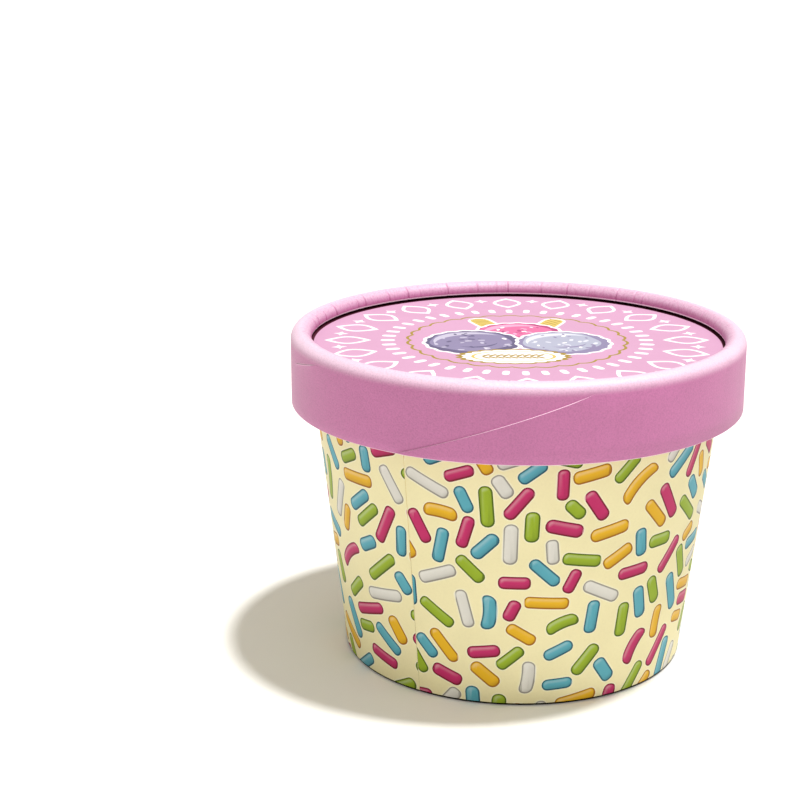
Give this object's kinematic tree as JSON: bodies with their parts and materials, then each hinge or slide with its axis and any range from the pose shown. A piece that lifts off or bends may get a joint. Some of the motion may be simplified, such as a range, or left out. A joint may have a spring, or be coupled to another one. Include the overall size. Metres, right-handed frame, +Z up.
{
  "type": "paper dessert cup",
  "caption": "Lidded paper dessert cup with a rolled rim, a recessed base panel and a lift-off lid whose rolled edge holds a sunk round panel.",
  "frame": {"origin": "centre of the foot, on the table that the cup stands on", "axes": "+Z up along the cup's axis, -Y to the front, +X to the right seen from the front"},
  "size_m": [0.0924, 0.0927, 0.0679],
  "materials": {
    "cup_board": "satin cream board, printed outside with coloured sprinkles, white inside and on the rim",
    "plain_board": "plain white board",
    "lid_board": "matte pink paper with a fine grain",
    "lid_print": "matte pink paper with a printed round design"
  },
  "bodies": {
    "cup": {"cup_wall": "cup_board", "cup_base": "plain_board"},
    "lid": {"lid_ring": "lid_board", "lid_disc": "lid_print"}
  },
  "joints": [
    {"name": "lid_lift", "type": "slide", "parent": "cup", "child": "lid", "axis": [0, 0, 1], "range_m": [0, 0.07]}
  ]
}
